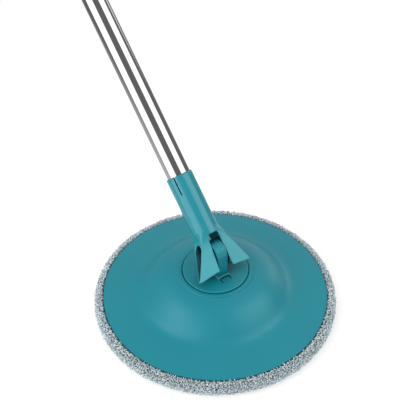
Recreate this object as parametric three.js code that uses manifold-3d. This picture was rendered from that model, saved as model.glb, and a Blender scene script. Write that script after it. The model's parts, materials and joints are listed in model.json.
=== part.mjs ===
// Disc spin mop: a domed plate with a microfibre pad, a forked handle joint and a push-down spin handle.
// Millimetres, +Z up. The origin is the centre of the pad's underside, on the floor.
// The handle leans towards +Y, and its joint pin runs along X.
import * as THREE from 'three';
import { ConvexGeometry } from 'three/addons/geometries/ConvexGeometry.js';
import { mergeVertices } from 'three/addons/utils/BufferGeometryUtils.js';
import Module from 'manifold-3d';

const wasm = await Module();
wasm.setup();

// ---- driving dimensions ----
const GAP = 0.3;                 // air between touching pieces
const LEAN = 48.6;               // handle angle from upright, degrees
const RIM_R = 150;               // domed plate, outer radius
const RIM_Z = 22.5;              // top of the plate's rim above the floor
const PLATE_WALL = 2.4;
const HUB_R = 43.5;              // round insert in the middle of the dome
const HUB_Z = 72.5;              // top face of the insert
const PIN_HEIGHT = 31;           // pin axis above the insert
const PIN_Z = HUB_Z + PIN_HEIGHT;
const PIN_R = 3;
const TONGUE_T = 15.4;           // tongue thickness along the pin
const TONGUE_FOOT = 17.6;        // half the tongue's length at its foot
const TONGUE_TOP_R = 16.5;
const PAD_R = 160;               // microfibre pad, outer radius
const PAD_EDGE_R = 11.5;         // radius of the pad's rounded edge

const SOCKET_R = 17.8;           // handle joint socket, outer radius
const SOCKET_TOP = 110.5;        // along the handle from the pin
const TUBE_R = 15.75;            // lower tube, outer radius
const TUBE_WALL = 1;
const TUBE_FROM = 42.3;
const TUBE_TO = 640;
const UPPER_R = 12.5;            // upper tube, outer radius
const UPPER_WALL = 0.9;
const UPPER_FROM = 541;
const UPPER_TO = 1180;
const STRIP_WIDTH = 11;          // twisted drive strip
const STRIP_T = 2;
const STRIP_PITCH = 100;         // handle travel for one turn
const STRIP_FROM = 250;
const TWIST_STEPS = 24;          // facets in one turn of the strip
const STRIP_STEPS = 75;
const NUT_AT = 522;              // lower face of the drive nut
const GRIP_FROM = 1005;
const GRIP_TO = 1172;
const ROUND = 48;                // sides of the large round parts
const SMALL_ROUND = 28;          // sides of the tube-sized parts
const TINY_ROUND = 16;           // sides of pins and screws

// ---- colours ----
const teal = { color: 0x1f8896, roughness: 0.42, metalness: 0 };
const deepTeal = { color: 0x157580, roughness: 0.42, metalness: 0 };
const steel = { color: 0xd8dadc, roughness: 0.12, metalness: 1 };
const zinc = { color: 0xb4b7ba, roughness: 0.35, metalness: 1 };
const charcoal = { color: 0x3a3d40, roughness: 0.6, metalness: 0 };
const nylon = { color: 0xe6e6e0, roughness: 0.5, metalness: 0 };
const hook = { color: 0xf0f1f0, roughness: 0.9, metalness: 0 };
const cloth = { color: 0xc9d3d6, roughness: 1, metalness: 0 };

// ---- solids ----
function toSolid(geometry) {
  const bare = geometry.clone();
  bare.deleteAttribute('normal');
  bare.deleteAttribute('uv');
  const merged = mergeVertices(bare, 1e-4);
  return new wasm.Manifold(new wasm.Mesh({
    numProp: 3,
    vertProperties: new Float32Array(merged.attributes.position.array),
    triVerts: new Uint32Array(merged.index.array),
  }));
}

function toGeometry(solid) {
  const mesh = solid.getMesh();
  const geometry = new THREE.BufferGeometry();
  geometry.setAttribute('position', new THREE.BufferAttribute(new Float32Array(mesh.vertProperties), 3));
  geometry.setIndex(new THREE.BufferAttribute(new Uint32Array(mesh.triVerts), 1));
  return geometry;
}

// A profile of [radius, height] points turned about Z; it starts and ends on the axis, or closes on itself.
function turned(profile, sides) {
  const points = profile.map(([r, z]) => new THREE.Vector2(r, z));
  const closes = profile[0][0] > 0;
  if (closes) points.push(points[0].clone());
  const area = points.reduce((sum, p, i) => {
    const next = points[(i + 1) % points.length];
    return sum + p.x * next.y - next.x * p.y;
  }, 0);
  if (area < 0) points.reverse();
  const geometry = new THREE.LatheGeometry(points, sides);
  geometry.rotateX(Math.PI / 2);
  return toSolid(geometry);
}

function ring(inner, outer, from, to, sides = SMALL_ROUND) {
  return turned([[inner, from], [outer, from], [outer, to], [inner, to]], sides);
}

function rod(radius, from, to, sides = SMALL_ROUND) {
  return turned([[0, from], [radius, from], [radius, to], [0, to]], sides);
}

function alongX(solid) {
  return solid.rotate([0, 90, 0]);
}

function block(x0, x1, y0, y1, z0, z1) {
  const geometry = new THREE.BoxGeometry(x1 - x0, y1 - y0, z1 - z0);
  geometry.translate((x0 + x1) / 2, (y0 + y1) / 2, (z0 + z1) / 2);
  return toSolid(geometry);
}

// An outline in X and Z, pushed through from y0 to y1.
function frontPlate(outline, y0, y1) {
  const geometry = new THREE.ExtrudeGeometry(outline, { depth: y1 - y0, bevelEnabled: false, curveSegments: 10 });
  geometry.rotateX(Math.PI / 2);
  geometry.translate(0, y1, 0);
  return toSolid(geometry);
}

// An outline in Y and Z, pushed through from x0 to x1.
function sidePlate(outline, x0, x1) {
  const geometry = new THREE.ExtrudeGeometry(outline, { depth: x1 - x0, bevelEnabled: false, curveSegments: 16 });
  geometry.rotateX(Math.PI / 2);
  geometry.rotateZ(Math.PI / 2);
  geometry.translate(x0, 0, 0);
  return toSolid(geometry);
}

function hullOf(points) {
  return toSolid(new ConvexGeometry(points.map(([x, y, z]) => new THREE.Vector3(x, y, z))));
}

function part(name, solid, look) {
  const mesh = new THREE.Mesh(toGeometry(solid), new THREE.MeshStandardMaterial(look));
  mesh.name = name;
  return mesh;
}

// ---- domed plate ----
const DOME = [[50.4, 68.6], [58, 66.6], [66, 63.2], [74, 58.2], [82, 51.4], [89, 43.8], [94, 37.9], [99.5, 33.4],
  [106, 30.7], [114, 28.9], [132, 26], [148, 22.9]];
const LIP_R = HUB_R + 0.7;       // the hole that the insert sits in
const LIP_OUTER = 49.6;
const LIP_TOP = 70.6;
const LIP_UNDER = 65.3;
const RIB_FLOOR = 20.2;
const RIBS = 8;
const BOSS_R = 53.5;             // circle of the insert's screws
const SCREWS = 4;

function domeCurve() {
  return new THREE.SplineCurve(DOME.map(([r, z]) => new THREE.Vector2(r, z)));
}

function plateProfile() {
  const curve = domeCurve();
  const steps = 11;
  const outer = [];
  const inner = [];
  for (let i = 0; i <= steps; i += 1) {
    const at = curve.getPointAt(i / steps);
    const along = curve.getTangentAt(i / steps);
    outer.push([at.x, at.y]);
    inner.unshift([at.x + along.y * PLATE_WALL, at.y - along.x * PLATE_WALL]);
  }
  const rim = [[RIM_R - 0.5, RIM_Z - 0.2], [RIM_R, RIM_Z - 0.8], [RIM_R, 19.9], [RIM_R - 2, 19.9]];
  const seat = [[LIP_OUTER + 1.5, LIP_UNDER], [LIP_R, LIP_UNDER], [LIP_R, LIP_TOP]];
  const lip = [[LIP_OUTER - 0.9, LIP_TOP], [LIP_OUTER, LIP_TOP - 0.9]];
  return [...outer, ...rim, ...inner.slice(0, -1), ...seat, ...lip];
}

function underDome() {
  const curve = domeCurve();
  const points = curve.getSpacedPoints(10).map((p) => [p.x, p.y - 1]);
  return turned([[0, 0], [RIM_R - 3, 0], [RIM_R - 3, 21], ...points.reverse(), [0, 68]], ROUND);
}

function discPlate() {
  let plate = turned(plateProfile(), ROUND);
  let ribs = rod(1, 200, 201);
  for (let i = 0; i < RIBS; i += 1) {
    const rib = block(60, RIM_R - 2.5, -0.8, 0.8, RIB_FLOOR, HUB_Z);
    ribs = ribs.add(rib.rotate([0, 0, (i + 0.5) * 360 / RIBS]));
  }
  plate = plate.add(ribs.intersect(underDome()));
  for (let i = 0; i < SCREWS; i += 1) {
    const boss = rod(3.6, 61.9, 67, TINY_ROUND).subtract(rod(1.9, 61, 66.4, TINY_ROUND));
    const hole = rod(1.9, 61, 66.4, TINY_ROUND);
    plate = plate.add(onScrewCircle(boss, i)).subtract(onScrewCircle(hole, i));
  }
  return plate;
}

function onScrewCircle(solid, i) {
  return solid.translate([BOSS_R, 0, 0]).rotate([0, 0, (i + 0.5) * 360 / SCREWS + 22.5]);
}

// ---- insert with the tongue ----
function tongue() {
  const outline = new THREE.Shape();
  outline.moveTo(-TONGUE_FOOT, HUB_Z - 1);
  outline.lineTo(TONGUE_FOOT, HUB_Z - 1);
  outline.lineTo(TONGUE_TOP_R, PIN_Z);
  outline.absarc(0, PIN_Z, TONGUE_TOP_R, 0, Math.PI, false);
  outline.closePath();
  return sidePlate(outline, -TONGUE_T / 2, TONGUE_T / 2);
}

function hubBase() {
  const flange = 47.4;
  const skirt = HUB_R - 2.6;
  const cap = turned([[0, HUB_Z], [HUB_R - 1.2, HUB_Z], [HUB_R, HUB_Z - 1.2], [HUB_R, 65],
    [flange, 65], [flange, 62], [skirt, 62], [skirt, HUB_Z - 3], [0, HUB_Z - 3]], ROUND);
  const plinth = block(-8.6, 8.6, -19, 19, HUB_Z - 1, HUB_Z + 1.4);
  const bore = alongX(rod(PIN_R + GAP, -20, 20, TINY_ROUND)).translate([0, 0, PIN_Z]);
  const tabFront = -27;
  const tabBack = -19.3;
  const slotWidth = 1.2;
  const tabHalf = 7.1;
  let slots = block(-tabHalf, tabHalf, tabBack - slotWidth, tabBack, HUB_Z - 5, HUB_Z + 1);
  for (const side of [-1, 1]) {
    const leg = block(tabHalf - slotWidth, tabHalf, tabFront, tabBack, HUB_Z - 5, HUB_Z + 1);
    slots = slots.add(side > 0 ? leg : leg.translate([slotWidth - 2 * tabHalf, 0, 0]));
  }
  return cap.add(plinth).add(tongue()).subtract(bore).subtract(slots);
}

function retainingRing() {
  let plate = ring(38, 58, 58.6, 61.6, ROUND);
  for (let i = 0; i < SCREWS; i += 1) plate = plate.subtract(onScrewCircle(rod(1.9, 50, 70, TINY_ROUND), i));
  return plate;
}

function hubScrew(i) {
  const screw = turned([[0, 56.2], [2.4, 56.2], [3.1, 57], [3.1, 58.3], [1.5, 58.3], [1.5, 65.6], [0, 66]], 16);
  return onScrewCircle(screw, i);
}

// ---- pad ----
function padPile() {
  const outline = new THREE.Path();
  const centre = PAD_R - PAD_EDGE_R;
  outline.absarc(centre, PAD_EDGE_R, PAD_EDGE_R, -Math.PI / 2, Math.PI * 0.32, false);
  const edge = outline.getPoints(3).map((p) => [p.x, p.y]);
  return turned([[0, 0], ...edge, [RIM_R + 0.6, 21.2], [RIM_R + 0.6, 19.2], [148.6, 19.2], [148.6, 15.9],
    [0, 15.9]], ROUND);
}

// ---- handle joint, in the handle's own frame: pin at the origin, +Z up the handle, -Y its front ----
const WALL = 2.6;                // round the slot
const SKIN = 1.7;                // of the flat faces, over the side openings
const FACE_V = 18.05;            // front face distance at FACE_W on the middle line
const FACE_W = 26;
const FACE_SLOPE = 0.1;          // how the flat faces close in towards the bottom
const FALL_TOP = 0.2;            // how they fall back to each side, at FACE_W and at FLARE_BOTTOM
const FALL_BOTTOM = 0.285;
const FLARE_TOP = 32;
const SHOULDER = 12.6;           // where the flare's straight edge starts
const SHOULDER_HALF = 21;
const FLARE_BOTTOM = -27.4;
const FLARE_HALF = 39.8;
const SLOT_TOP = 24.7;
const SLOT_HALF = 8.2;
const SLOT_BOTTOM_HALF = 11.7;
const FLARE_REACH = 46;          // the wedge runs wider than the flare

function faceFall(z) {
  const down = THREE.MathUtils.clamp((FACE_W - z) / (FACE_W - FLARE_BOTTOM), 0, 1);
  return FALL_TOP + (FALL_BOTTOM - FALL_TOP) * down;
}

function faceDepth(x, z, wall) {
  return FACE_V - wall - FACE_SLOPE * (FACE_W - z) - faceFall(z) * Math.abs(x);
}

// The space between the front and rear faces, wall deep inside them, cut off at a top and a bottom height.
function wedge(top, bottom, wall) {
  const points = [];
  for (const z of [top, SHOULDER, FLARE_BOTTOM, bottom]) {
    const middle = faceDepth(0, z, wall);
    const reach = Math.min(FLARE_REACH, middle / faceFall(z));
    const atEdge = middle - faceFall(z) * reach;
    for (const side of [-1, 1]) {
      points.push([0, side * middle, z], [reach, side * atEdge, z], [-reach, side * atEdge, z]);
    }
  }
  return hullOf(points);
}

function slotOutline(extra) {
  const top = SLOT_TOP + extra;
  const half = SLOT_HALF + extra;
  const low = -45;
  const lowHalf = SLOT_BOTTOM_HALF + 1.6 + extra;
  const corner = 3.4;
  const outline = new THREE.Shape();
  outline.moveTo(half, top - corner);
  outline.quadraticCurveTo(half, top, half - corner, top);
  outline.lineTo(corner - half, top);
  outline.quadraticCurveTo(-half, top, -half, top - corner);
  outline.quadraticCurveTo(-half - 0.1, -4, -lowHalf, low);
  outline.lineTo(lowHalf, low);
  outline.quadraticCurveTo(half + 0.1, -4, half, top - corner);
  return outline;
}

function flareOutline() {
  const outline = new THREE.Shape();
  const bottomIn = -24.2;
  outline.moveTo(0, bottomIn);
  outline.lineTo(SLOT_BOTTOM_HALF, bottomIn);
  const teeth = 8;
  const span = (FLARE_HALF - 2 - SLOT_BOTTOM_HALF) / teeth;
  for (let i = 0; i < teeth; i += 1) {
    const x = SLOT_BOTTOM_HALF + i * span;
    const drop = (i + 0.5) / teeth * (bottomIn - FLARE_BOTTOM);
    outline.lineTo(x + span * 0.5, bottomIn - drop - 0.9);
    outline.lineTo(x + span, bottomIn - drop - 0.1);
  }
  outline.lineTo(FLARE_HALF, FLARE_BOTTOM);
  outline.lineTo(SHOULDER_HALF, SHOULDER);
  outline.quadraticCurveTo(SOCKET_R + 0.1, 19, SOCKET_R, FLARE_TOP);
  outline.lineTo(0, FLARE_TOP);
  outline.closePath();
  return outline;
}

function flare() {
  const half = frontPlate(flareOutline(), -25, 25);
  const whole = half.add(half.mirror([1, 0, 0]));
  const cone = [];
  const sides = 36;
  for (let i = 0; i < sides; i += 1) {
    const turn = i / sides * Math.PI * 2;
    cone.push([SOCKET_R * Math.cos(turn), SOCKET_R * Math.sin(turn), FLARE_TOP]);
  }
  const low = -32;
  for (const side of [-1, 1]) {
    cone.push([0, side * faceDepth(0, low, 0), low]);
    for (const face of [-1, 1]) {
      cone.push([side * 44, face * faceDepth(44, low, 0), low]);
      const depth = faceDepth(SHOULDER_HALF, SHOULDER, 0);
      cone.push([side * (SHOULDER_HALF + 0.4), face * depth, SHOULDER]);
    }
  }
  return whole.intersect(hullOf(cone));
}

function archOutline() {
  const outline = new THREE.Shape();
  const half = 12;
  const spring = 2;
  outline.moveTo(-half, -40);
  outline.lineTo(half, -40);
  outline.lineTo(half, spring);
  outline.absellipse(0, spring, half, 15, 0, Math.PI, false, 0);
  outline.closePath();
  return outline;
}

function handleJoint() {
  const barrel = turned([[0, 0], [SOCKET_R, 0], [SOCKET_R, SOCKET_TOP - 1.5], [SOCKET_R - 0.45, SOCKET_TOP - 0.45],
    [SOCKET_R - 1.4, SOCKET_TOP], [0, SOCKET_TOP]], 96);
  const trimmed = barrel.intersect(wedge(60, -40, 0).add(block(-30, 30, -30, 30, FACE_W, 130)));
  const pocket = wedge(FLARE_TOP, -60, SKIN).intersect(sidePlate(archOutline(), -60, 60));
  const cheeks = frontPlate(slotOutline(WALL), -30, 30).intersect(block(-20, 20, -30, 30, -20, 40));
  const boss = alongX(rod(5.6, -16, 16, 28));
  let joint = trimmed.add(flare()).subtract(pocket.subtract(cheeks.intersect(trimmed.add(flare()))).subtract(boss));
  joint = joint.subtract(frontPlate(slotOutline(0), -40, 40));
  joint = joint.subtract(alongX(rod(PIN_R + GAP, -30, 30, TINY_ROUND)));
  joint = joint.subtract(rod(TUBE_R + GAP, TUBE_FROM - GAP, 200, SMALL_ROUND));
  joint = joint.subtract(rod(TUBE_R - 2.2, 29, 60, SMALL_ROUND));
  const slit = block(-0.8, 0.8, -30, 0, 84.8, 130);
  joint = joint.subtract(slit.rotate([0, 0, -49])).subtract(slit.rotate([0, 0, 131]));
  return joint.subtract(screwHole());
}

const SCREW_AT = 66;
function screwHole() {
  return rod(1.8, 0, 60, TINY_ROUND).rotate([-90, 0, 0]).translate([0, 0, SCREW_AT]);
}

function hingePin() {
  return alongX(turned([[0, -18.1], [4.4, -18.1], [5, -17.6], [5, -16.3], [PIN_R, -16.3], [PIN_R, 18.4],
    [PIN_R - 0.6, 19], [0, 19]], TINY_ROUND));
}

function pinClip() {
  return alongX(turned([[PIN_R + GAP, 16.3], [5.4, 16.3], [5.4, 17], [PIN_R + GAP, 17.7]], TINY_ROUND));
}

// ---- handle ----
function lowerTube() {
  return ring(TUBE_R - TUBE_WALL, TUBE_R, TUBE_FROM, TUBE_TO, 40).subtract(screwHole());
}

function socketScrew() {
  const screw = turned([[0, 13], [1.2, 13], [1.5, 13.6], [1.5, 18.1], [3.2, 18.1], [3.2, 19.2], [2.2, 20.2],
    [0, 20.2]], 16);
  return screw.rotate([-90, 0, 0]).translate([0, 0, SCREW_AT]);
}

// A flat bar twisted evenly about the handle's axis, between two facet steps of the strip.
function twistedBar(width, thickness, first, last) {
  const steps = last - first;
  const positions = [];
  const index = [];
  for (let i = 0; i <= steps; i += 1) {
    const z = STRIP_FROM + (first + i) * STRIP_PITCH / TWIST_STEPS;
    const turn = (first + i) / TWIST_STEPS * Math.PI * 2;
    const [c, s] = [Math.cos(turn), Math.sin(turn)];
    for (const [x, y] of [[-1, -1], [1, -1], [1, 1], [-1, 1]]) {
      const [a, b] = [x * width / 2, y * thickness / 2];
      positions.push(a * c - b * s, a * s + b * c, z);
    }
  }
  for (let i = 0; i < steps; i += 1) {
    for (let k = 0; k < 4; k += 1) {
      const [a, b] = [i * 4 + k, i * 4 + (k + 1) % 4];
      index.push(a, b, b + 4, a, b + 4, a + 4);
    }
  }
  const top = steps * 4;
  index.push(0, 2, 1, 0, 3, 2, top, top + 1, top + 2, top, top + 2, top + 3);
  const geometry = new THREE.BufferGeometry();
  geometry.setAttribute('position', new THREE.Float32BufferAttribute(positions, 3));
  geometry.setIndex(index);
  return toSolid(geometry);
}

function stripAnchor() {
  const hole = twistedBar(STRIP_WIDTH + 0.8, STRIP_T + 0.8, -1, 6);
  const plug = turned([[0, 238], [13.4, 238], [14.4, 239], [14.4, 269], [12, 272], [0, 272]], SMALL_ROUND);
  return plug.subtract(hole);
}

function nutHousing() {
  return turned([[10.2, NUT_AT - 1], [14.2, NUT_AT - 1], [14.2, UPPER_FROM - GAP], [11.2, UPPER_FROM - GAP],
    [11.2, 562], [8, 562], [8, 534], [10.2, 534]], SMALL_ROUND);
}

function driveNut() {
  let teeth = rod(9.8, NUT_AT, NUT_AT + 6.4);
  for (let i = 0; i < 6; i += 1) {
    const notch = block(7.4, 12, -1.5, 1.5, NUT_AT + 5, NUT_AT + 7);
    teeth = teeth.subtract(notch.rotate([0, 0, i * 60]));
  }
  return teeth.subtract(twistedBar(STRIP_WIDTH + 2, STRIP_T + 2, 64, 70));
}

function clutchRing() {
  const low = NUT_AT + 6.8;
  let crown = ring(7.6, 9.9, low, low + 4.6);
  for (let i = 0; i < 6; i += 1) {
    const tooth = block(7.7, 9.4, -1.1, 1.1, low - 1.3, low + 1).rotate([0, 0, i * 60]);
    crown = crown.add(tooth);
  }
  return crown;
}

function nutCap() {
  return turned([[7.6, NUT_AT - 4], [13.6, NUT_AT - 4], [14.2, NUT_AT - 3.4], [14.2, NUT_AT - 1.3], [7.6, NUT_AT - 1.3]],
    SMALL_ROUND);
}

function guideBush() {
  return turned([[UPPER_R + GAP, 604], [14.45, 604], [14.45, TUBE_TO + GAP], [15.4, TUBE_TO + GAP],
    [15.4, TUBE_TO + 2], [UPPER_R + GAP, TUBE_TO + 2]], SMALL_ROUND);
}

function bearingRing() {
  return ring(TUBE_R + GAP, 18, 621, 637);
}

function collarBody() {
  const body = turned([[16.4, 614], [18.6, 614], [20.6, 617], [20.6, 655], [19.6, 661], [16.3, 661], [16.3, 690],
    [14.6, 690], [14.6, 677], [UPPER_R + GAP, 675], [UPPER_R + GAP, 646], [16.4, 643.5], [18.3, 643], [18.3, 620.6],
    [16.4, 620.6]], SMALL_ROUND);
  let ribbed = body;
  for (let i = 0; i < 3; i += 1) {
    ribbed = ribbed.subtract(ring(20, 22, 624 + i * 8, 627 + i * 8));
  }
  return ribbed;
}

function clampCollet() {
  const sleeve = turned([[UPPER_R + GAP, 677.6], [14.3, 677.6], [14.3, 691.4], [UPPER_R + GAP, 693]], SMALL_ROUND);
  return sleeve.subtract(block(0, 20, -1, 1, 670, 700));
}

function lockRing() {
  let nut = turned([[16.7, 661.3], [19.8, 661.3], [21, 664], [20.4, 696], [18, 701], [UPPER_R + 0.6, 701],
    [UPPER_R + 0.6, 694.6], [16.7, 691]], SMALL_ROUND);
  for (let i = 0; i < 12; i += 1) {
    const flute = rod(2.4, 668, 720, 12).translate([22.2, 0, 0]);
    nut = nut.subtract(flute.rotate([0, 0, i * 30]));
  }
  return nut;
}

function upperTube() {
  return ring(UPPER_R - UPPER_WALL, UPPER_R, UPPER_FROM, UPPER_TO);
}

function grip() {
  const bore = UPPER_R + GAP;
  const outline = new THREE.SplineCurve([[15.2, 0], [16.6, 0.06], [16.2, 0.3], [17.2, 0.55], [16.4, 0.82], [17.4, 0.96],
    [16.2, 1]].map(([r, at]) => new THREE.Vector2(r, GRIP_FROM + at * (GRIP_TO - GRIP_FROM))));
  const skin = outline.getPoints(8).map((p) => [p.x, p.y]);
  return turned([[bore, GRIP_FROM], ...skin, [bore, GRIP_TO]], SMALL_ROUND);
}

const EYE_FROM = 1194;
const EYE_TO = 1209;
function endCap() {
  const shell = turned([[0, 1150], [11.2, 1150], [11.2, UPPER_TO + GAP], [12.8, UPPER_TO + GAP],
    [12.8, GRIP_TO + GAP], [17.2, GRIP_TO + GAP], [17.4, 1182], [16.4, 1202], [12.8, 1212], [7, 1216.5], [0, 1218]],
  SMALL_ROUND);
  const eye = new THREE.Shape();
  const half = 5;
  eye.absarc(0, EYE_TO - half, half, 0, Math.PI, false);
  eye.absarc(0, EYE_FROM + half, half, Math.PI, Math.PI * 2, false);
  eye.closePath();
  return shell.subtract(sidePlate(eye, -30, 30));
}

// ---- assembly ----
const mop = new THREE.Group();
const head = new THREE.Group();
head.add(part('disc_plate', discPlate(), teal));
head.add(part('hub_base', hubBase(), deepTeal));
head.add(part('retaining_ring', retainingRing(), deepTeal));
for (let i = 0; i < SCREWS; i += 1) head.add(part(`hub_screw_${i + 1}`, hubScrew(i), zinc));
head.add(part('hook_ring_outer', ring(112, 138, 18.2, 19.9, 60), hook));
head.add(part('hook_ring_inner', ring(62, 82, 18.2, 19.9, 48), hook));
head.add(part('pad_backing', rod(148, 16.2, 17.9, ROUND), cloth));
head.add(part('pad_pile', padPile(), cloth));

const handle = new THREE.Group();
handle.position.set(0, 0, PIN_Z);
handle.rotation.x = -THREE.MathUtils.degToRad(LEAN);
handle.add(part('handle_joint', handleJoint(), teal));
handle.add(part('hinge_pin', hingePin(), zinc));
handle.add(part('pin_clip', pinClip(), zinc));
handle.add(part('lower_tube', lowerTube(), steel));
handle.add(part('socket_screw', socketScrew(), zinc));
handle.add(part('strip_anchor', stripAnchor(), nylon));
handle.add(part('twisted_strip', twistedBar(STRIP_WIDTH, STRIP_T, 0, STRIP_STEPS), zinc));
handle.add(part('guide_bush', guideBush(), nylon));
handle.add(part('bearing_ring', bearingRing(), nylon));
handle.add(part('collar_body', collarBody(), teal));
handle.add(part('clamp_collet', clampCollet(), nylon));
handle.add(part('lock_ring', lockRing(), charcoal));
handle.add(part('upper_tube', upperTube(), steel));
handle.add(part('nut_housing', nutHousing(), nylon));
handle.add(part('drive_nut', driveNut(), nylon));
handle.add(part('clutch_ring', clutchRing(), zinc));
handle.add(part('nut_cap', nutCap(), nylon));
handle.add(part('grip', grip(), charcoal));
handle.add(part('end_cap', endCap(), teal));

mop.add(head, handle);

export default mop;
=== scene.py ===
"""Looks of a disc spin mop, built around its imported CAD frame. Lengths are in metres, +Z up."""

import json
import math

import bmesh
import bpy
import numpy as np
from mathutils import Matrix, Vector


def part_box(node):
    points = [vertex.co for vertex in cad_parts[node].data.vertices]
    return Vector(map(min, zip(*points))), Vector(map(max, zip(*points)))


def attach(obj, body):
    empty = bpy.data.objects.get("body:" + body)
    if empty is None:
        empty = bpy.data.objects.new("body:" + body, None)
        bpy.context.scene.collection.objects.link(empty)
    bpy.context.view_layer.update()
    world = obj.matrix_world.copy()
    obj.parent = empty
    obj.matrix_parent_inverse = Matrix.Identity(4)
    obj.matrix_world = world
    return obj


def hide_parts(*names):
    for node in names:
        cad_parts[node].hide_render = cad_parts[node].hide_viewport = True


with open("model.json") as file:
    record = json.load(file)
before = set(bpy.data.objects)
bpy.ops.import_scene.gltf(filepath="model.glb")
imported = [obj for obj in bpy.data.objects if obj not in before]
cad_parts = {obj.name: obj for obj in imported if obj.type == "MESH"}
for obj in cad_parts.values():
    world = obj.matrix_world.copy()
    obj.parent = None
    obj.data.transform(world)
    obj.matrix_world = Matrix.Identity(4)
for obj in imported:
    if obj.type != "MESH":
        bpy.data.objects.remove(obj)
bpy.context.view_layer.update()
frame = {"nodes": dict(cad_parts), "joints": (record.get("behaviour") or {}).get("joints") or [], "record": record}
NODES = frame["nodes"]
JOINTS = {joint["name"]: joint for joint in frame["joints"]}
MM = 0.001
rng = np.random.default_rng(7)

# ---- where things are, from the frame ----
PIN = Vector(JOINTS["head_tilt"]["pos_m"])
UP_HANDLE = Vector(JOINTS["spin"]["axis"]).normalized()
LEAN = math.atan2(UP_HANDLE.y, UP_HANDLE.z)
HANDLE = Matrix.Translation(PIN) @ Matrix.Rotation(-LEAN, 4, "X")
RIM_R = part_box("disc_plate")[1].x
RIM_WALL = 2.6 * MM
RIM_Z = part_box("hook_ring_outer")[1].z + RIM_WALL
PAD_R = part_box("pad_pile")[1].y


def along_handle(node):
    """The lowest and highest distance of a node's points along the handle from the pin, and its radius."""
    inverse = HANDLE.inverted()
    points = [inverse @ v.co for v in NODES[node].data.vertices]
    reach = max(math.hypot(p.x, p.y) for p in points)
    return min(p.z for p in points), max(p.z for p in points), reach


# ---- camera ----
AZIMUTH = math.radians(-35.09)
ELEVATION = math.radians(44.96)
ROLL = math.radians(-0.05)
DISTANCE = 2.5
LENS = 171.0
AIM_HEIGHT = 52.5 * MM
AIM_RIGHT = -20.1 * MM
AIM_UP = 103.1 * MM


def toward_camera():
    flat = math.cos(ELEVATION)
    return Vector((math.sin(AZIMUTH) * flat, -math.cos(AZIMUTH) * flat, math.sin(ELEVATION)))


def camera_sides():
    """The directions that point right and up in the picture."""
    right = Vector((math.cos(AZIMUTH), math.sin(AZIMUTH), 0))
    return right, toward_camera().cross(right)


def make_camera():
    data = bpy.data.cameras.new("camera")
    data.sensor_width = 36
    data.lens = LENS
    data.clip_end = 50
    camera = bpy.data.objects.new("camera", data)
    bpy.context.scene.collection.objects.link(camera)
    right, up = camera_sides()
    aim = Vector((0, 0, AIM_HEIGHT)) + right * AIM_RIGHT + up * AIM_UP
    turn = Matrix((right, up, toward_camera())).transposed().to_4x4()
    camera.matrix_world = Matrix.Translation(aim + toward_camera() * DISTANCE) @ turn @ Matrix.Rotation(ROLL, 4, "Z")
    bpy.context.scene.camera = camera


make_camera()


# ---- material helpers ----
class Nodes:
    """A material's node tree, with short calls to add and link nodes."""

    def __init__(self, name):
        self.material = bpy.data.materials.new(name)
        self.material.use_nodes = True
        self.tree = self.material.node_tree
        self.shader = self.tree.nodes["Principled BSDF"]
        self.place = self.add("ShaderNodeTexCoord").outputs["Object"]

    def add(self, kind, **values):
        node = self.tree.nodes.new(kind)
        for key, value in values.items():
            setattr(node, key, value)
        return node

    def link(self, source, target):
        self.tree.links.new(source, target)

    def set(self, **values):
        for key, value in values.items():
            self.shader.inputs[key.replace("_", " ")].default_value = value

    def noise(self, scale, detail=3.0, stretch=None):
        node = self.add("ShaderNodeTexNoise")
        node.inputs["Scale"].default_value = scale
        node.inputs["Detail"].default_value = detail
        source = self.place
        if stretch is not None:
            turn = self.add("ShaderNodeMapping")
            turn.inputs["Rotation"].default_value = (LEAN, 0, 0)
            turn.inputs["Scale"].default_value = stretch
            self.link(source, turn.inputs["Vector"])
            source = turn.outputs["Vector"]
        self.link(source, node.inputs["Vector"])
        return node.outputs["Fac"]

    def spread(self, source, low, high, from_low=0.3, from_high=0.7):
        node = self.add("ShaderNodeMapRange")
        for name, value in (("From Min", from_low), ("From Max", from_high), ("To Min", low), ("To Max", high)):
            node.inputs[name].default_value = value
        self.link(source, node.inputs["Value"])
        return node.outputs["Result"]

    def mix(self, factor, first, second):
        node = self.add("ShaderNodeMix", data_type="RGBA")
        self.link(factor, node.inputs["Factor"])
        for slot, value in (("A", first), ("B", second)):
            socket = [s for s in node.inputs if s.name == slot and s.type == "RGBA"][0]
            if isinstance(value, tuple):
                socket.default_value = (*value, 1)
            else:
                self.link(value, socket)
        return [s for s in node.outputs if s.type == "RGBA"][0]

    def bump(self, source, strength, distance):
        node = self.add("ShaderNodeBump")
        node.inputs["Strength"].default_value = strength
        node.inputs["Distance"].default_value = distance
        self.link(source, node.inputs["Height"])
        self.link(node.outputs["Normal"], self.shader.inputs["Normal"])


def matt_faces(m):
    """1 on the joint's flat faces, which have the mould's matt grain, and 0 on its polished barrel. It sets their
    rougher gloss, and their paler tone, which is a painted sheen.
    """
    along = m.add("ShaderNodeVectorMath", operation="DOT_PRODUCT")
    m.link(m.place, along.inputs[0])
    along.inputs[1].default_value = UP_HANDLE
    start = PIN.dot(UP_HANDLE)
    return m.spread(along.outputs["Value"], 1.0, 0.0, start + 6 * MM, start + 24 * MM)


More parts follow.
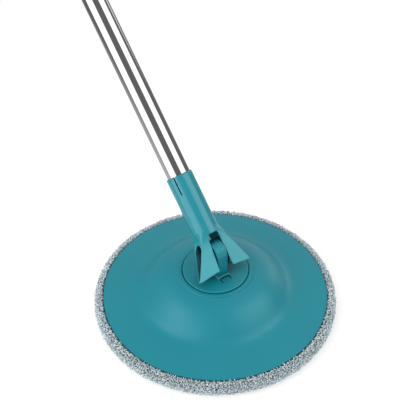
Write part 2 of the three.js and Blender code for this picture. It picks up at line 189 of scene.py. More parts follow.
def moulded_plastic(name, color, deep, roughness, peel=0.05, shade=0.0, grain_and_sheen=None):
    """Moulded plastic: a slow change of tone, uneven gloss and a fine orange-peel skin, with painted shade that
    darkens its base colour in recesses.
    """
    m = Nodes(name)
    tone = m.mix(m.spread(m.noise(14.0, 2.0), 0.0, 1.0), color, deep)
    gloss = m.spread(m.noise(260.0, 2.0), roughness - 0.03, roughness + 0.04)
    if grain_and_sheen:
        matt = matt_faces(m)
        # painted sheen: the flat faces' colour is lifted toward a paler, greyer teal; the added roughness is the real
        # matt grain
        tone = m.mix(m.spread(matt, 0.0, 0.4, 0.0, 1.0), tone, grain_and_sheen)
        dull = m.add("ShaderNodeMath", operation="MULTIPLY_ADD")
        m.link(matt, dull.inputs[0])
        dull.inputs[1].default_value = 0.28
        m.link(gloss, dull.inputs[2])
        gloss = dull.outputs["Value"]
    if shade > 0:
        # painted shade: ambient occlusion mixes the base colour toward near-black in recesses, by the shade amount
        recess = m.add("ShaderNodeAmbientOcclusion", samples=8)
        recess.inputs["Distance"].default_value = 0.02
        painted_shade_mix = m.spread(recess.outputs["AO"], 1.0 - shade, 1.0, 0.42, 0.95)
        tone = m.mix(painted_shade_mix, (0.0, 0.01, 0.012), tone)
    m.link(tone, m.shader.inputs["Base Color"])
    m.link(gloss, m.shader.inputs["Roughness"])
    m.bump(m.noise(1400.0, 2.0), peel, 0.0002)
    m.set(IOR=1.43)
    return m.material


def drawn_steel(name, color, smooth, rough):
    """Plated tube: bright, with faint lines along its length from drawing."""
    m = Nodes(name)
    lines = m.noise(900.0, 3.0, stretch=(1.0, 1.0, 0.01))
    m.link(m.mix(lines, color, tuple(c * 0.93 for c in color)), m.shader.inputs["Base Color"])
    m.link(m.spread(m.noise(40.0, 4.0), smooth, rough), m.shader.inputs["Roughness"])
    m.bump(lines, 0.01, 0.0001)
    m.set(Metallic=1.0)
    return m.material


def plated(name, color, roughness):
    """Zinc-plated small hardware."""
    m = Nodes(name)
    m.link(m.mix(m.noise(300.0), color, tuple(c * 0.8 for c in color)), m.shader.inputs["Base Color"])
    m.link(m.spread(m.noise(700.0), roughness - 0.06, roughness + 0.08), m.shader.inputs["Roughness"])
    m.set(Metallic=1.0)
    return m.material


def soft_touch(name, color):
    m = Nodes(name)
    m.link(m.mix(m.noise(120.0), color, tuple(c * 1.5 for c in color)), m.shader.inputs["Base Color"])
    m.link(m.spread(m.noise(500.0), 0.62, 0.78), m.shader.inputs["Roughness"])
    m.bump(m.noise(2600.0, 2.0), 0.25, 0.0002)
    return m.material


def woven(name, color, shade, pitch):
    """A plain weave drawn with two crossed waves."""
    m = Nodes(name)
    waves = []
    for axis in ("X", "Y"):
        wave = m.add("ShaderNodeTexWave", bands_direction=axis)
        wave.inputs["Scale"].default_value = 1 / pitch / 20
        m.link(m.place, wave.inputs["Vector"])
        waves.append(wave.outputs["Fac"])
    both = m.add("ShaderNodeMath", operation="MULTIPLY")
    m.link(waves[0], both.inputs[0])
    m.link(waves[1], both.inputs[1])
    m.link(m.mix(both.outputs["Value"], shade, color), m.shader.inputs["Base Color"])
    m.bump(both.outputs["Value"], 0.4, 0.0004)
    m.set(Roughness=0.92, Sheen_Weight=0.2)
    return m.material


def microfibre(name, dark, pale, white):
    """Looped pile with a cool cast: fine dark speckles are painted shade for the gaps between loops, over a coarser
    change of tone from pale to white.
    """
    m = Nodes(name)
    # painted shade: fine noise scatters dark speckles that stand in for the shaded gaps between loops
    fine = m.spread(m.noise(360.0, 2.0), 0.0, 1.0, 0.36, 0.56)
    coarse = m.spread(m.noise(120.0, 2.0), 0.0, 1.0)
    m.link(m.mix(fine, dark, m.mix(coarse, pale, white)), m.shader.inputs["Base Color"])
    m.bump(m.noise(2500.0, 2.0), 0.5, 0.0004)
    m.set(Roughness=0.9, Sheen_Weight=0.3, Sheen_Roughness=0.5, Specular_IOR_Level=0.2)
    return m.material


TEAL = moulded_plastic("teal_plastic", (0.001, 0.212, 0.27), (0.002, 0.222, 0.28), 0.4)
# The joint and the insert get painted shade in their recesses; the joint's flat faces also get a paler tone as
# painted sheen.
TEAL_BRIGHT = moulded_plastic("joint_plastic", (0.012, 0.242, 0.3), (0.016, 0.252, 0.31), 0.2, shade=0.92,
                              grain_and_sheen=(0.13, 0.52, 0.58))
TEAL_DEEP = moulded_plastic("insert_plastic", (0.001, 0.21, 0.26), (0.002, 0.22, 0.27), 0.4, shade=0.6)
TUBE_TONE = (0.36, 0.36, 0.364)
CHROME = drawn_steel("tube_steel", TUBE_TONE, 0.03, 0.06)
ZINC = plated("zinc_steel", (0.62, 0.63, 0.65), 0.34)
RUBBER = soft_touch("grip_rubber", (0.03, 0.033, 0.036))
CHARCOAL = moulded_plastic("charcoal_plastic", (0.035, 0.038, 0.042), (0.045, 0.048, 0.052), 0.5, 0.2)
NYLON = moulded_plastic("white_nylon", (0.7, 0.7, 0.66), (0.62, 0.62, 0.58), 0.45, 0.1)
HOOKS = woven("hook_tape", (0.75, 0.76, 0.75), (0.45, 0.46, 0.46), 0.0016)
BACKING = woven("pad_cloth", (0.62, 0.66, 0.68), (0.4, 0.43, 0.45), 0.0012)
PILE = microfibre("pad_loops", (0.3, 0.37, 0.42), (0.57, 0.71, 0.75), (0.83, 0.89, 0.91))
# painted shade: the pad's core is coloured dark grey so that the gaps between the loops look shaded
PILE_GAP_SHADE = microfibre("pad_gap_shade", (0.12, 0.15, 0.17), (0.2, 0.25, 0.27), (0.3, 0.34, 0.36))
LOOKS = {"teal_plastic": TEAL, "insert_plastic": TEAL_DEEP, "tube_steel": CHROME, "zinc_steel": ZINC,
         "grip_rubber": RUBBER, "charcoal_plastic": CHARCOAL, "white_nylon": NYLON, "hook_tape": HOOKS,
         "pad_cloth": BACKING, "pad_loops": PILE}


# ---- mesh helpers ----
def new_object(name, vertices, faces, material, smooth=True):
    mesh = bpy.data.meshes.new(name)
    mesh.from_pydata([tuple(v) for v in vertices], [], [tuple(f) for f in faces])
    mesh.materials.append(material)
    mesh.update()
    thing = bpy.data.objects.new(name, mesh)
    bpy.context.scene.collection.objects.link(thing)
    if smooth:
        mesh.shade_smooth()
    return thing


def fillet(points, radius, closed=False, steps=4, sharp=math.radians(18)):
    """The same outline with each real corner rounded by a small curve."""
    count = len(points)
    result = []
    for i, (x, y) in enumerate(points):
        if not closed and i in (0, count - 1):
            result.append((x, y))
            continue
        here = np.array((x, y))
        before = np.array(points[i - 1]) - here
        after = np.array(points[(i + 1) % count]) - here
        lengths = np.linalg.norm(before), np.linalg.norm(after)
        bend = math.acos(max(-1, min(1, -float(before @ after) / (lengths[0] * lengths[1]))))
        if bend < sharp:
            result.append((x, y))
            continue
        reach = min(radius * math.tan(bend / 2), 0.45 * min(lengths))
        start = here + before / lengths[0] * reach
        end = here + after / lengths[1] * reach
        for k in range(steps + 1):
            t = k / steps
            point = (1 - t) ** 2 * start + 2 * t * (1 - t) * here + t * t * end
            result.append((float(point[0]), float(point[1])))
    return result


def turned(name, profile, material, segments=128, matrix=None, shape=None):
    """A profile of (radius, height) turned about Z. It closes on itself, or starts and ends on the axis."""
    on_axis = profile[0][0] < 1e-9
    rings, vertices, faces = [], [], []
    for r, z in profile:
        if r < 1e-9:
            rings.append([len(vertices)] * segments)
            vertices.append((0, 0, z))
            continue
        rings.append([len(vertices) + k for k in range(segments)])
        for k in range(segments):
            angle = 2 * math.pi * k / segments
            reach = shape(r, z, angle) if shape else r
            vertices.append((reach * math.cos(angle), reach * math.sin(angle), z))
    pairs = list(zip(rings, rings[1:])) if on_axis else list(zip(rings, rings[1:] + rings[:1]))
    for low, high in pairs:
        for k in range(segments):
            n = (k + 1) % segments
            corners = [low[k], low[n], high[n], high[k]]
            face = [c for j, c in enumerate(corners) if c not in corners[:j]]
            if len(face) > 2:
                faces.append(face)
    thing = new_object(name, vertices, faces, material)
    tidy_normals(thing)
    if matrix is not None:
        thing.data.transform(matrix)
    return thing


def tidy_normals(thing):
    shape = bmesh.new()
    shape.from_mesh(thing.data)
    bmesh.ops.recalc_face_normals(shape, faces=shape.faces)
    shape.to_mesh(thing.data)
    shape.free()


def apply_modifiers(thing):
    graph = bpy.context.evaluated_depsgraph_get()
    mesh = bpy.data.meshes.new_from_object(thing.evaluated_get(graph))
    thing.modifiers.clear()
    thing.data = mesh


def soften(thing, voxel, passes):
    """Moulded edges: an even mesh, then a little smoothing that rounds every corner."""
    remesh = thing.modifiers.new("even", "REMESH")
    remesh.mode = "VOXEL"
    remesh.voxel_size = voxel
    smooth = thing.modifiers.new("round", "SMOOTH")
    smooth.factor = 0.5
    smooth.iterations = passes
    apply_modifiers(thing)
    thing.data.shade_smooth()


def copy_of(node, name, material):
    mesh = NODES[node].data.copy()
    mesh.materials.clear()
    mesh.materials.append(material)
    thing = bpy.data.objects.new(name, mesh)
    bpy.context.scene.collection.objects.link(thing)
    join = bmesh.new()
    join.from_mesh(mesh)
    bmesh.ops.remove_doubles(join, verts=join.verts, dist=1e-6)
    join.to_mesh(mesh)
    join.free()
    return thing


def place(thing, body, slot, *nodes):
    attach(thing, body)
    if nodes:
        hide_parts(*nodes)


def catmull_rom(points, count):
    """Points evenly along a smooth line through the given ones."""
    ends = [points[0], *points, points[-1]]
    fine = []
    for i in range(1, len(ends) - 2):
        a, b, c, d = (np.array(ends[i + k - 1]) for k in range(4))
        for t in np.linspace(0, 1, 24, endpoint=False):
            fine.append(0.5 * (2 * b + (c - a) * t + (2 * a - 5 * b + 4 * c - d) * t ** 2
                               + (3 * b - a - 3 * c + d) * t ** 3))
    fine.append(np.array(points[-1]))
    fine = np.array(fine)
    run = np.concatenate([[0], np.cumsum(np.linalg.norm(np.diff(fine, axis=0), axis=1))])
    at = np.linspace(0, run[-1], count)
    return [(float(np.interp(s, run, fine[:, 0])), float(np.interp(s, run, fine[:, 1]))) for s in at]


# ---- domed plate ----
WALL = 2.4 * MM
HUB_R = 43.5 * MM
LIP_R = HUB_R + 0.7 * MM
LIP_OUTER = 49.6 * MM
LIP_TOP = 70.6 * MM
LIP_UNDER = 65.3 * MM
DOME = [(r * MM, z * MM) for r, z in ((50.4, 68.6), (58, 66.6), (66, 63.2), (74, 58.2), (82, 51.4), (89, 44.1),
                                      (94, 38.6), (99.5, 34), (106, 31), (114, 28.95), (132, 26), (145.8, 23.4))]
RIM_INSET = 1.7 * MM  # the pad's loops hug the rim
RIBS = 8
RIB_FLOOR = 20.2 * MM
RIB_T = 1.6 * MM


def dome_line(count):
    return catmull_rom(DOME, count)


def under_line(outer):
    """The dome's inner face: the same line, a wall's thickness further in."""
    line = []
    for i, (r, z) in enumerate(outer):
        before, after = outer[max(i - 1, 0)], outer[min(i + 1, len(outer) - 1)]
        along = np.array(after) - np.array(before)
        along /= np.linalg.norm(along)
        line.append((r + float(along[1]) * WALL, z - float(along[0]) * WALL))
    return line


def make_plate():
    outer = dome_line(72)
    inner = under_line(outer)
    under = RIM_Z - RIM_WALL
    edge = RIM_R - RIM_INSET
    rim = fillet([outer[-1], (edge, RIM_Z + 0.4 * MM), (edge + 0.1 * MM, under), (edge - 1.9 * MM, under), inner[-1]],
                 0.9 * MM)[1:-1]
    seat = fillet([inner[0], (LIP_OUTER + 1.5 * MM, LIP_UNDER), (LIP_R, LIP_UNDER), (LIP_R, LIP_TOP),
                   (LIP_OUTER, LIP_TOP), (LIP_OUTER + 0.1 * MM, 68.9 * MM), outer[0]], 0.7 * MM)[1:-1]
    shell = turned("domed_plate", [*outer, *rim, *inner[::-1], *seat], TEAL, segments=256)
    place(shell, "head", "teal_plastic", "disc_plate")
    make_ribs()


def make_ribs():
    """Thin radial ribs under the dome."""
    line = [p for p in under_line(dome_line(40)) if 60 * MM < p[0] < RIM_R - 3 * MM]
    half = RIB_T / 2
    vertices, faces = [], []
    for i in range(RIBS):
        turn = Matrix.Rotation(2 * math.pi * (i + 0.5) / RIBS, 3, "Z")
        first = len(vertices)
        for r, z in line:
            for side, height in ((-half, z + 0.3 * MM), (half, z + 0.3 * MM), (half, RIB_FLOOR), (-half, RIB_FLOOR)):
                vertices.append(turn @ Vector((r, side, height)))
        last = len(line) - 1
        for k in range(last):
            for j in range(4):
                a, b = first + 4 * k + j, first + 4 * k + (j + 1) % 4
                faces.append((a, b, b + 4, a + 4))
        faces.append((first, first + 3, first + 2, first + 1))
        faces.append(tuple(first + 4 * last + j for j in range(4)))
    ribs = new_object("plate_ribs", vertices, faces, TEAL, smooth=False)
    tidy_normals(ribs)
    place(ribs, "head", "teal_plastic")


make_plate()

# ---- insert and joint: the CAD shape with moulded edges ----
SOCKET_R = 17.8 * MM
SLIT_TURN = math.radians(-49)  # where the socket's split is, round the handle


def make_hub():
    hub = copy_of("hub_base", "insert_with_tongue", TEAL_DEEP)
    soften(hub, 0.55 * MM, 3)
    place(hub, "head", "insert_plastic", "hub_base")


def true_barrel(thing):
    """Brings the socket's facets back to its round wall."""
    inverse = HANDLE.inverted()
    for vertex in thing.data.vertices:
        local = inverse @ vertex.co
        reach = math.hypot(local.x, local.y)
        if abs(reach - SOCKET_R) < 0.06 * MM and local.z > 4 * MM:
            scale = (SOCKET_R - 0.01 * MM) / reach
            vertex.co = HANDLE @ Vector((local.x * scale, local.y * scale, local.z))


def blend_shoulders(thing):
    """Flows the round barrel into the flat flare, where the mould has large soft blends."""
    inverse = HANDLE.inverted()
    group = thing.vertex_groups.new(name="shoulders")
    for vertex in thing.data.vertices:
        local = (inverse @ vertex.co) / MM
        reach = math.hypot(local.x, local.y)
        if 6 < local.z < 44 and abs(local.x) > 11 and reach > 13:
            fade = min(1, (local.z - 6) / 6, (44 - local.z) / 8, (abs(local.x) - 11) / 3)
            group.add([vertex.index], fade, "REPLACE")
    smooth = thing.modifiers.new("blend", "SMOOTH")
    smooth.factor = 0.6
    smooth.iterations = 14
    smooth.vertex_group = "shoulders"
    apply_modifiers(thing)
    thing.data.shade_smooth()


def make_joint():
    """The joint is remeshed in line with its split, so that the narrow split keeps straight sides."""
    joint = copy_of("handle_joint", "forked_joint", TEAL_BRIGHT)
    slit = HANDLE @ Matrix.Rotation(SLIT_TURN, 4, "Z")
    joint.data.transform(slit.inverted())
    soften(joint, 0.5 * MM, 3)
    joint.data.transform(slit)
    blend_shoulders(joint)
    true_barrel(joint)
    place(joint, "lower", "teal_plastic", "handle_joint")


make_hub()
make_joint()


# ---- tubes and the handle's round parts ----
def handle_ring(name, profile, material, radius=0.4 * MM, segments=128, shape=None):
    """A closed ring profile in millimetres along the handle."""
    points = [(r * MM, z * MM) for r, z in profile]
    return turned(name, fillet(points, radius, closed=True), material, segments, HANDLE, shape)


def tube(node, name, wall):
    low, high, reach = (v / MM for v in along_handle(node))
    profile = [(reach - wall, low), (reach, low), (reach, high), (reach - wall, high)]
    return handle_ring(name, profile, CHROME, 0.35 * MM)


place(tube("lower_tube", "thick_tube", 1.0), "lower", "tube_steel", "lower_tube")
place(tube("upper_tube", "thin_tube", 0.9), "handle", "tube_steel", "upper_tube")


def make_collar():
    """The collar with three shallow grooves, and the neck inside the lock ring."""
    profile = [(16.4, 614), (18.6, 614), (20.6, 617)]
    for i in range(3):
        low = 624 + i * 8
        profile += [(20.6, low), (20, low), (20, low + 3), (20.6, low + 3)]
    profile += [(20.6, 655), (19.6, 661), (16.3, 661), (16.3, 690), (14.6, 690), (14.6, 677), (12.8, 675)]
    profile += [(12.8, 646), (16.4, 643.5), (18.3, 643), (18.3, 620.6), (16.4, 620.6)]
    place(handle_ring("collar", profile, TEAL), "collar", "teal_plastic", "collar_body")


FLUTES = 12
FLUTE_DEPTH = 1.1 * MM


def fluted(r, z, angle):
    """Finger flutes that fade out at both ends of the lock ring."""
    if r < 19.5 * MM:
        return r
    flute = max(0.0, math.cos(FLUTES * angle)) ** 2
    fade = max(0.0, min(1.0, (z - 665 * MM) / (4 * MM)))
    return r - FLUTE_DEPTH * flute * fade


def make_lock_ring():
    outside = [(20.95 - 0.6 * i / 12, 664 + 32 * i / 12) for i in range(13)]
    profile = [(16.7, 661.3), (19.8, 661.3), *outside, (18, 701), (13.1, 701), (13.1, 694.6), (16.7, 691)]
    place(handle_ring("twist_lock", profile, CHARCOAL, segments=192, shape=fluted), "lock", "charcoal_plastic",
          "lock_ring")


GRIP_SHAPE = ((15.2, 0), (16.6, 0.06), (16.2, 0.3), (17.2, 0.55), (16.4, 0.82), (17.4, 0.96), (16.2, 1))
GRIP_BAND = (0.12, 0.8)
GRIP_PITCH = 9 * MM
GRIP_GROOVE = 0.7 * MM
GRIP_BORE = 12.8 * MM


def make_grip():
    """A soft sleeve with a slow swell, and grooves round its middle band."""
    low, high, _ = along_handle("grip")
    line = catmull_rom([(r * MM, low + at * (high - low)) for r, at in GRIP_SHAPE], 240)
    skin = []
    for r, z in line:
        at = (z - low) / (high - low)
        inside = min(max((at - GRIP_BAND[0]) / 0.03, 0), 1) * min(max((GRIP_BAND[1] - at) / 0.03, 0), 1)
        groove = max(0.0, math.cos(2 * math.pi * z / GRIP_PITCH)) ** 6
        skin.append((r - GRIP_GROOVE * inside * groove, z))
    profile = fillet([(GRIP_BORE, low), *skin, (GRIP_BORE, high)], 0.8 * MM, closed=True, sharp=math.radians(40))
    grip = turned("soft_grip", profile, RUBBER, 128, HANDLE)
    place(grip, "handle", "grip_rubber", "grip")


EYE_R = 5
EYE_CENTRES = (1199, 1204)


def make_end_cap():
    """A rounded cap with a plug, and a hanging eye cut across it."""
    shell = [(0, 1150), (11.2, 1150), (11.2, 1180.3), (12.8, 1180.3), (12.8, 1172.3), (17.2, 1172.3), (17.4, 1182),
             (16.4, 1202), (12.8, 1212), (7, 1216.5), (0, 1218)]
    cap = turned("hanging_cap", fillet([(r * MM, z * MM) for r, z in shell], 0.8 * MM), TEAL, 128, HANDLE)
    outline = []
    for k in range(32):
        angle = 2 * math.pi * k / 32
        centre = EYE_CENTRES[1] if math.sin(angle) > 0 else EYE_CENTRES[0]
        outline.append((EYE_R * math.cos(angle), centre + EYE_R * math.sin(angle)))
    vertices = [HANDLE @ Vector((side * 30 * MM, y * MM, z * MM)) for side in (-1, 1) for y, z in outline]
    count = len(outline)
    faces = [tuple(range(count))[::-1], tuple(range(count, 2 * count))]
    faces += [(k, (k + 1) % count, count + (k + 1) % count, count + k) for k in range(count)]
    eye = new_object("eye_cutter", vertices, faces, TEAL, smooth=False)
    tidy_normals(eye)
    cut = cap.modifiers.new("eye", "BOOLEAN")
    cut.object = eye
    cut.operation = "DIFFERENCE"
    apply_modifiers(cap)
    bpy.data.objects.remove(eye)
    soften(cap, 0.5 * MM, 3)
    place(cap, "handle", "teal_plastic", "end_cap")


make_collar()
make_lock_ring()
make_grip()
make_end_cap()

# ---- microfibre pad ----
EDGE_R = 11.5 * MM
LOOP_HEIGHT = 3.4 * MM
EDGE_PITCH = 2.3 * MM
EDGE_END = 78  # degrees above level at which the last row of loops stands
UNDER_HEIGHT = 3.1 * MM
UNDER_PITCH = 3.6 * MM
YARN = 0.72 * MM


def pad_section(angle, shrink, end=64):
    """A point of the pad's section, from its underside (0) round the outside to an end angle by the rim (1)."""
    turn = -math.pi / 2 + angle * (math.pi / 2 + math.radians(end))
    centre = PAD_R - EDGE_R
    reach = EDGE_R - shrink
    return centre + reach * math.cos(turn), EDGE_R + reach * math.sin(turn), turn


def make_pad_body():
    """The pad's core, a little smaller than the pad, which carries the loops. Its dark material is painted shade for
    the gaps between the loops.
    """
    section = [(0, 2.4 * MM), (60 * MM, 2.4 * MM), (110 * MM, 2.5 * MM)]
    for i in range(25):
        r, z, _ = pad_section(i / 24, LOOP_HEIGHT * 0.8)
        section.append((r, z))
    section += [(RIM_R + 0.9 * MM, 20.4 * MM), (RIM_R + 0.7 * MM, 18.9 * MM), (RIM_R - 1.5 * MM, 18.9 * MM),
                (RIM_R - 1.8 * MM, 16 * MM), (0, 16 * MM)]

    def lumpy(r, z, angle):
        wave = math.sin(angle * 23 + z * 700) + math.sin(angle * 57 + 1.3) + math.sin(angle * 131 - z * 900)
        return r + 0.12 * MM * wave if r > RIM_R + 1 * MM else r

    return turned("pad_body", section, PILE_GAP_SHADE, segments=320, shape=lumpy)


def loops(bases, normals, size, sides=3, rings=6):
    """Many small yarn loops as one mesh: each rises from its base, bends over and comes back."""
    count = len(bases)
    random_turn = rng.uniform(0, 2 * np.pi, count)
    side = np.cross(normals, np.array([0.31, 0.17, 0.93]))
    side /= np.linalg.norm(side, axis=1, keepdims=True)
    other = np.cross(normals, side)
    span = side * np.cos(random_turn)[:, None] + other * np.sin(random_turn)[:, None]
    tilt = side * np.cos(random_turn * 2.3)[:, None] + other * np.sin(random_turn * 2.3)[:, None]
    outward = bases * np.array([1, 1, 0]) / np.linalg.norm(bases[:, :2], axis=1, keepdims=True)
    tilt += outward * (1.4 * np.clip(normals[:, 2:] - 0.5, 0, 1))
    height = size * rng.uniform(0.75, 1.15, count)
    width = size * rng.uniform(0.35, 0.6, count)
    yarn = YARN * rng.uniform(0.8, 1.25, count)
    vertices = np.zeros((count, rings, sides, 3))
    for k in range(rings):
        t = k / (rings - 1)
        lift = np.sin(np.pi * t)
        centre = (bases + span * (width * np.cos(np.pi * t))[:, None] + normals * (height * lift)[:, None]
                  + tilt * (height * 0.45 * lift)[:, None])
        along = -span * (width * np.sin(np.pi * t) + 1e-5)[:, None] + (normals + tilt * 0.45) * (
            height * np.cos(np.pi * t))[:, None]
        along /= np.linalg.norm(along, axis=1, keepdims=True)
        across = np.cross(along, np.cross(span, normals))
        across /= np.linalg.norm(across, axis=1, keepdims=True)
        third = np.cross(along, across)
        for j in range(sides):
            turn = 2 * np.pi * j / sides
            vertices[:, k, j] = centre + (across * math.cos(turn) + third * math.sin(turn)) * yarn[:, None]
    cell = rings * sides
    pattern = [(k * sides + j, k * sides + (j + 1) % sides, (k + 1) * sides + (j + 1) % sides, (k + 1) * sides + j)
               for k in range(rings - 1) for j in range(sides)]
    faces = (np.array(pattern)[None] + (np.arange(count) * cell)[:, None, None]).reshape(-1, 4)
    caps = np.array([[2, 1, 0], [cell - 3, cell - 2, cell - 1]])
    caps = (caps[None] + (np.arange(count) * cell)[:, None, None]).reshape(-1, 3)
    points = vertices.reshape(-1, 3)
    points[:, 2] = np.maximum(points[:, 2], 0.15 * MM)
    return points, faces.tolist() + caps.tolist()


def edge_loops(pitch):
    """Places and directions of the loops that stand out round the pad's edge, in staggered rows."""
    bases, normals = [], []
    length = EDGE_R * (math.pi / 2 + math.radians(EDGE_END))
    rows = int(length / pitch)
    for row in range(rows + 1):
        r, z, turn = pad_section(row / rows, LOOP_HEIGHT * 0.85, EDGE_END)
        count = int(2 * math.pi * r / pitch)
        angles = 2 * np.pi * (np.arange(count) + 0.5 * (row % 2)) / count + rng.normal(0, 0.25 / count, count)
        wobble = rng.normal(0, 0.12, count)
        radial = np.stack([np.cos(angles), np.sin(angles), 0 * angles], 1)
        up = np.array([0, 0, 1.0])
        bases.append(radial * r + up * z)
        normals.append(radial * np.cos(turn + wobble)[:, None] + up * np.sin(turn + wobble)[:, None])
    return np.concatenate(bases), np.concatenate(normals)


def under_loops(pitch):
    """Places and directions of the loops under the pad, in rings."""
    spots = []
    radius = pitch
    while radius < PAD_R - EDGE_R:
        count = int(2 * math.pi * radius / pitch)
        angles = 2 * np.pi * np.arange(count) / count + radius * 91
        spots.append(np.stack([radius * np.cos(angles), radius * np.sin(angles), 0 * angles + 3.1 * MM], 1))
        radius += pitch
    bases = np.concatenate(spots)
    return bases, np.tile([0.0, 0.0, -1.0], (len(bases), 1))


def make_pad():
    body = make_pad_body()
    place(body, "head", "pad_loops", "pad_pile")
    for name, (bases, normals), size in (("edge_loops", edge_loops(EDGE_PITCH), LOOP_HEIGHT),
                                         ("under_loops", under_loops(UNDER_PITCH), UNDER_HEIGHT)):
        points, faces = loops(bases, normals, size)
        pile = new_object(name, points, faces, PILE)
        place(pile, "head", "pad_loops")


def make_backing():
    """The cloth that the loops are sewn to: a thin woven disc, quilted a little by its stitching."""
    lowest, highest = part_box("pad_backing")
    radius, low, high = highest.x, lowest.z, highest.z
    rings, count = 40, 160
    vertices, faces = [], []
    for height in (low + 0.3 * MM, low + 1.3 * MM):
        first = len(vertices)
        vertices.append((0, 0, height))
        for i in range(1, rings + 1):
            r = radius * i / rings
            for k in range(count):
                angle = 2 * math.pi * k / count
                quilt = 0.12 * MM * math.sin(r / (2.4 * MM)) * math.sin(8 * angle + r / (30 * MM))
                vertices.append((r * math.cos(angle), r * math.sin(angle), min(high, height + quilt)))
        for k in range(count):
            n = (k + 1) % count
            faces.append((first, first + 1 + k, first + 1 + n))
            for i in range(rings - 1):
                a = first + 1 + i * count
                faces.append((a + k, a + count + k, a + count + n, a + n))
    under, over = 1 + (rings - 1) * count, 2 + rings * count + (rings - 1) * count
    for k in range(count):
        n = (k + 1) % count
        faces.append((under + k, under + n, over + n, over + k))
    cloth = new_object("woven_backing", vertices, faces, BACKING)
    tidy_normals(cloth)
    place(cloth, "head", "pad_cloth", "pad_backing")


make_pad()
make_backing()

# ---- CAD nodes that keep their shape ----
SLOTS = {row["node"]: row["material_slot"] for row in frame["record"]["subparts"]}


def finish_cad_nodes():
    for name, node in NODES.items():
        if node.hide_render:
            continue
        node.data.materials.clear()
        node.data.materials.append(LOOKS[SLOTS[name]])
        node.data.shade_smooth()
        node.data.set_sharp_from_angle(angle=math.radians(32))


finish_cad_nodes()


# ---- floor and light ----
FLOOR_R = 0.52
FLOOR_Z = -0.6 * MM


def make_floor():
    """A pale disc under the mop. The tube mirrors the studio round it instead."""
    count = 128
    turns = [2 * math.pi * k / count for k in range(count)]
    ring = [(FLOOR_R * math.cos(turn), FLOOR_R * math.sin(turn), FLOOR_Z) for turn in turns]
    m = Nodes("pale_floor")
    m.link(m.mix(m.noise(3.0), (0.6, 0.6, 0.6), (0.62, 0.62, 0.62)), m.shader.inputs["Base Color"])
    m.set(Roughness=0.9, Specular_IOR_Level=0.1, Emission_Color=(1, 1, 1, 1), Emission_Strength=0.48)
    floor = new_object("floor", ring, [tuple(range(count))], m.material, smooth=False)
    floor.visible_glossy = False


STUDIO = 3.2  # strength of the white boxes
BANDS = ((-180, 0.1), (-110, 0.1), (-86, 1.0), (-27, 1.0), (-22, 0.1), (27, 0.1), (32, 1.0), (79, 1.0), (84, 0.1),
         (141, 0.1), (150, 0.3), (180, 0.3))  # degrees round the handle, and grey level
SHELF_END = 0.262  # part of a turn
STRIP_AT = 0.823  # part of a turn
STRIP_LEVEL = 0.9
CEILING = (0.13, 0.13, 0.13, 1)


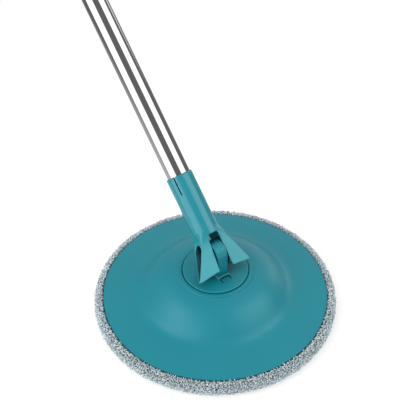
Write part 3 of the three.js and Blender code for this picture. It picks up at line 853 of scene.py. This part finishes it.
def make_world():
    """A studio as seen round the handle: a white box at each side, dark between, and a plain ceiling.

    A grey shelf fades along the handle on the left, and a thin white strip on the right widens along it.
    Only mirrored light sees the studio: other light is even, and the background is white.
    """
    world = bpy.data.worlds.new("studio")
    bpy.context.scene.world = world
    world.use_nodes = True
    tree = world.node_tree
    back = tree.nodes["Background"]

    def add(kind, **values):
        node = tree.nodes.new(kind)
        for key, value in values.items():
            setattr(node, key, value)
        return node

    def dot(vector):
        node = add("ShaderNodeVectorMath", operation="DOT_PRODUCT")
        tree.links.new(place_out, node.inputs[0])
        node.inputs[1].default_value = vector
        return node.outputs["Value"]

    def math_node(operation, *values):
        node = add("ShaderNodeMath", operation=operation)
        for socket, value in zip(node.inputs, values):
            if isinstance(value, (int, float)):
                socket.default_value = value
            else:
                tree.links.new(value, socket)
        return node.outputs["Value"]

    def pick(choice, first, second):
        """One of two grey levels."""
        node = add("ShaderNodeMix", data_type="FLOAT")
        for socket, value in zip([s for s in node.inputs if s.type == "VALUE"], (choice, first, second)):
            if isinstance(value, (int, float)):
                socket.default_value = value
            else:
                tree.links.new(value, socket)
        return [s for s in node.outputs if s.type == "VALUE"][0]

    place_out = add("ShaderNodeTexCoord").outputs["Generated"]
    front = toward_camera()
    front = (front - UP_HANDLE * front.dot(UP_HANDLE)).normalized()
    right = UP_HANDLE.cross(front) * -1
    if right.dot(Vector((1, 0, 0))) < 0:
        right = -right
    angle = math_node("ARCTAN2", dot(right), dot(front))
    around = math_node("MULTIPLY_ADD", angle, 1 / (2 * math.pi), 0.5)
    ramp_node = add("ShaderNodeValToRGB")
    ramp = ramp_node.color_ramp
    tree.links.new(around, ramp_node.inputs["Fac"])
    while len(ramp.elements) < len(BANDS):
        ramp.elements.new(0.5)
    for element, (degrees, level) in zip(ramp.elements, BANDS):
        element.position = (degrees + 180) / 360
        element.color = (level, level, level, 1)
    along = dot(UP_HANDLE)
    shelf = math_node("MULTIPLY_ADD", around, -2.4, 0.78)
    shelf = math_node("MULTIPLY_ADD", along, -5.0, shelf)
    shelf = math_node("MULTIPLY_ADD", math_node("MINIMUM", math_node("MAXIMUM", shelf, 0.0), 1.0), 0.4, 0.115)
    shelf = math_node("DIVIDE", shelf, STUDIO * TUBE_TONE[0])
    on_shelf = math_node("LESS_THAN", around, SHELF_END)
    off_strip = math_node("ABSOLUTE", math_node("SUBTRACT", around, STRIP_AT))
    strip = math_node("MULTIPLY_ADD", along, 0.18, math_node("SUBTRACT", -0.0013, off_strip))
    on_strip = math_node("GREATER_THAN", strip, 0.0)
    pole = math_node("ABSOLUTE", along)
    cap = add("ShaderNodeMapRange", interpolation_type="SMOOTHSTEP")
    for name, value in (("From Min", 0.12), ("From Max", 0.42), ("To Min", 0.0), ("To Max", 0.8)):
        cap.inputs[name].default_value = value
    tree.links.new(pole, cap.inputs["Value"])
    mixed = add("ShaderNodeMix", data_type="RGBA")
    tree.links.new(cap.outputs["Result"], mixed.inputs["Factor"])
    sockets = [s for s in mixed.inputs if s.type == "RGBA"]
    shade = pick(on_strip, pick(on_shelf, ramp_node.outputs["Color"], shelf), STRIP_LEVEL)
    tree.links.new(shade, sockets[0])
    sockets[1].default_value = CEILING
    bands_out = [s for s in mixed.outputs if s.type == "RGBA"][0]
    tree.links.new(bands_out, back.inputs["Color"])
    back.inputs["Strength"].default_value = STUDIO
    plain = add("ShaderNodeBackground")
    plain.inputs["Color"].default_value = (1, 1, 1, 1)
    plain.inputs["Strength"].default_value = 0.8
    white = add("ShaderNodeBackground")
    white.inputs["Strength"].default_value = 1.0
    white.inputs["Color"].default_value = (1, 1, 1, 1)
    path = add("ShaderNodeLightPath")
    diffuse = add("ShaderNodeMixShader")
    tree.links.new(path.outputs["Is Glossy Ray"], diffuse.inputs["Fac"])
    tree.links.new(plain.outputs["Background"], diffuse.inputs[1])
    tree.links.new(back.outputs["Background"], diffuse.inputs[2])
    seen = add("ShaderNodeMixShader")
    tree.links.new(path.outputs["Is Camera Ray"], seen.inputs["Fac"])
    tree.links.new(diffuse.outputs["Shader"], seen.inputs[1])
    tree.links.new(white.outputs["Background"], seen.inputs[2])
    tree.links.new(seen.outputs["Shader"], tree.nodes["World Output"].inputs["Surface"])


def soft_sun(name, direction, width, strength):
    """A large far softbox seen in this direction."""
    data = bpy.data.lights.new(name, "SUN")
    data.angle = math.radians(width)
    data.energy = strength
    light = bpy.data.objects.new(name, data)
    light.rotation_euler = Vector(direction).to_track_quat("Z", "Y").to_euler()
    bpy.context.scene.collection.objects.link(light)
    return light


make_floor()
make_world()
soft_sun("left_softbox", (-0.8, 0.23, 0.56), 30, 0.5)
key = soft_sun("key_softbox", (-0.72, -0.1, 0.68), 50, 0.75)
key.visible_glossy = False
soft_sun("right_softbox", (0.57, -0.44, 0.69), 34, 0.12)
front = soft_sun("front_softbox", (-0.05, -0.8, 0.6), 50, 0.2)
front.visible_glossy = False
bpy.context.scene.view_settings.view_transform = "Standard"
